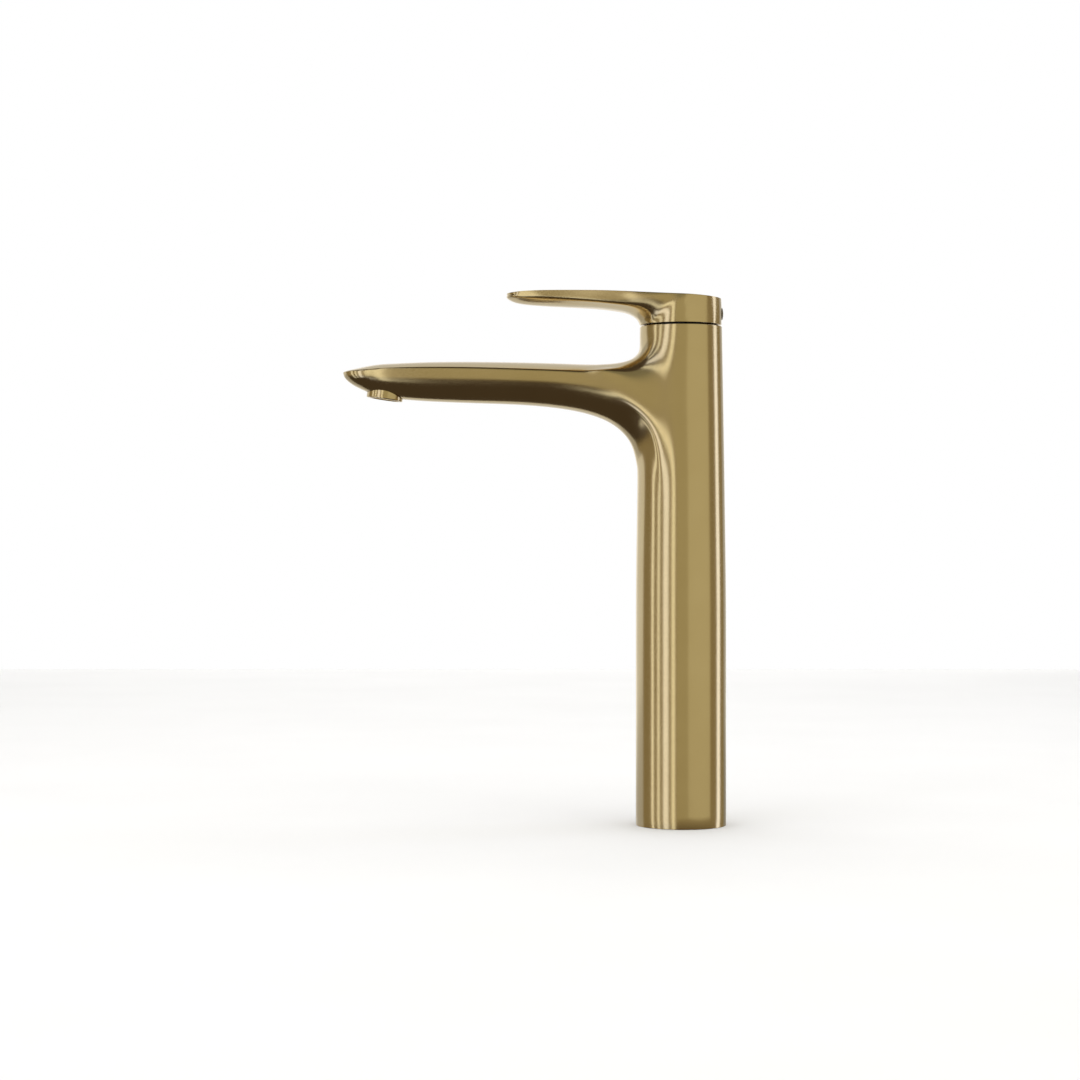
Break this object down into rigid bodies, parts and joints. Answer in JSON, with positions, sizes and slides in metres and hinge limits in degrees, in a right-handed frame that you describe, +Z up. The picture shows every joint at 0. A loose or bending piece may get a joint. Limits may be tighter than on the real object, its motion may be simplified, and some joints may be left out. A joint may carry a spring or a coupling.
{
  "type": "bathroom mixer faucet",
  "caption": "Tall single-lever basin mixer: a round column with an upswept spout, a flat lever that lifts to open and turns to mix, and a tilted aerator under the spout's tip.",
  "frame": {"origin": "on the deck, at the centre of the foot plate under the column's axis", "axes": "+Z up along the column, the spout and lever point along -X, +Y to one side"},
  "size_m": [0.2121, 0.05, 0.2948],
  "materials": {
    "gold_finish": "satin gold plating",
    "raw_brass": "machined",
    "steel": "plain stainless",
    "ceramic": "lapped",
    "white_plastic": "moulded",
    "grey_plastic": "moulded",
    "dark_plastic": "moulded",
    "red_plastic": "moulded",
    "rubber": "matte"
  },
  "bodies": {
    "faucet_body": {"body_casting": "gold_finish", "foot_plate": "raw_brass", "base_seal": "rubber", "cartridge_base": "white_plastic", "inlet_seal_cold": "rubber", "inlet_seal_hot": "rubber", "outlet_seal": "rubber", "fixed_disc": "ceramic", "cartridge_housing": "grey_plastic", "cartridge_nut": "raw_brass", "bonnet_ring": "gold_finish", "temperature_stop": "red_plastic", "aerator_housing": "gold_finish", "aerator_insert": "white_plastic", "aerator_screen": "steel", "flow_regulator": "grey_plastic", "aerator_gasket": "rubber"},
    "rotor_unit": {"rotor": "grey_plastic", "pivot_pin": "steel"},
    "disc_unit": {"moving_disc": "ceramic", "disc_carrier": "grey_plastic"},
    "lever": {"lever_handle": "gold_finish", "stem": "steel", "handle_adapter": "raw_brass", "adapter_screw": "steel", "set_screw": "steel", "screw_cover": "dark_plastic"}
  },
  "joints": [
    {"name": "lever_turn", "type": "hinge", "parent": "faucet_body", "child": "rotor_unit", "pos_m": [0, 0, 0.283], "axis": [0, 0, 1], "range_deg": [-48, 48]},
    {"name": "lever_lift", "type": "hinge", "parent": "rotor_unit", "child": "lever", "pos_m": [0, 0, 0.283], "axis": [0, 1, 0], "range_deg": [0, 24]},
    {"name": "disc_slide", "type": "slide", "parent": "rotor_unit", "child": "disc_unit", "axis": [1, 0, 0], "range_m": [-0.004, 0.0001]}
  ],
  "couplings": [
    {"joint": "disc_slide", "follows": "lever_lift", "m_per_rad": -0.00922}
  ]
}
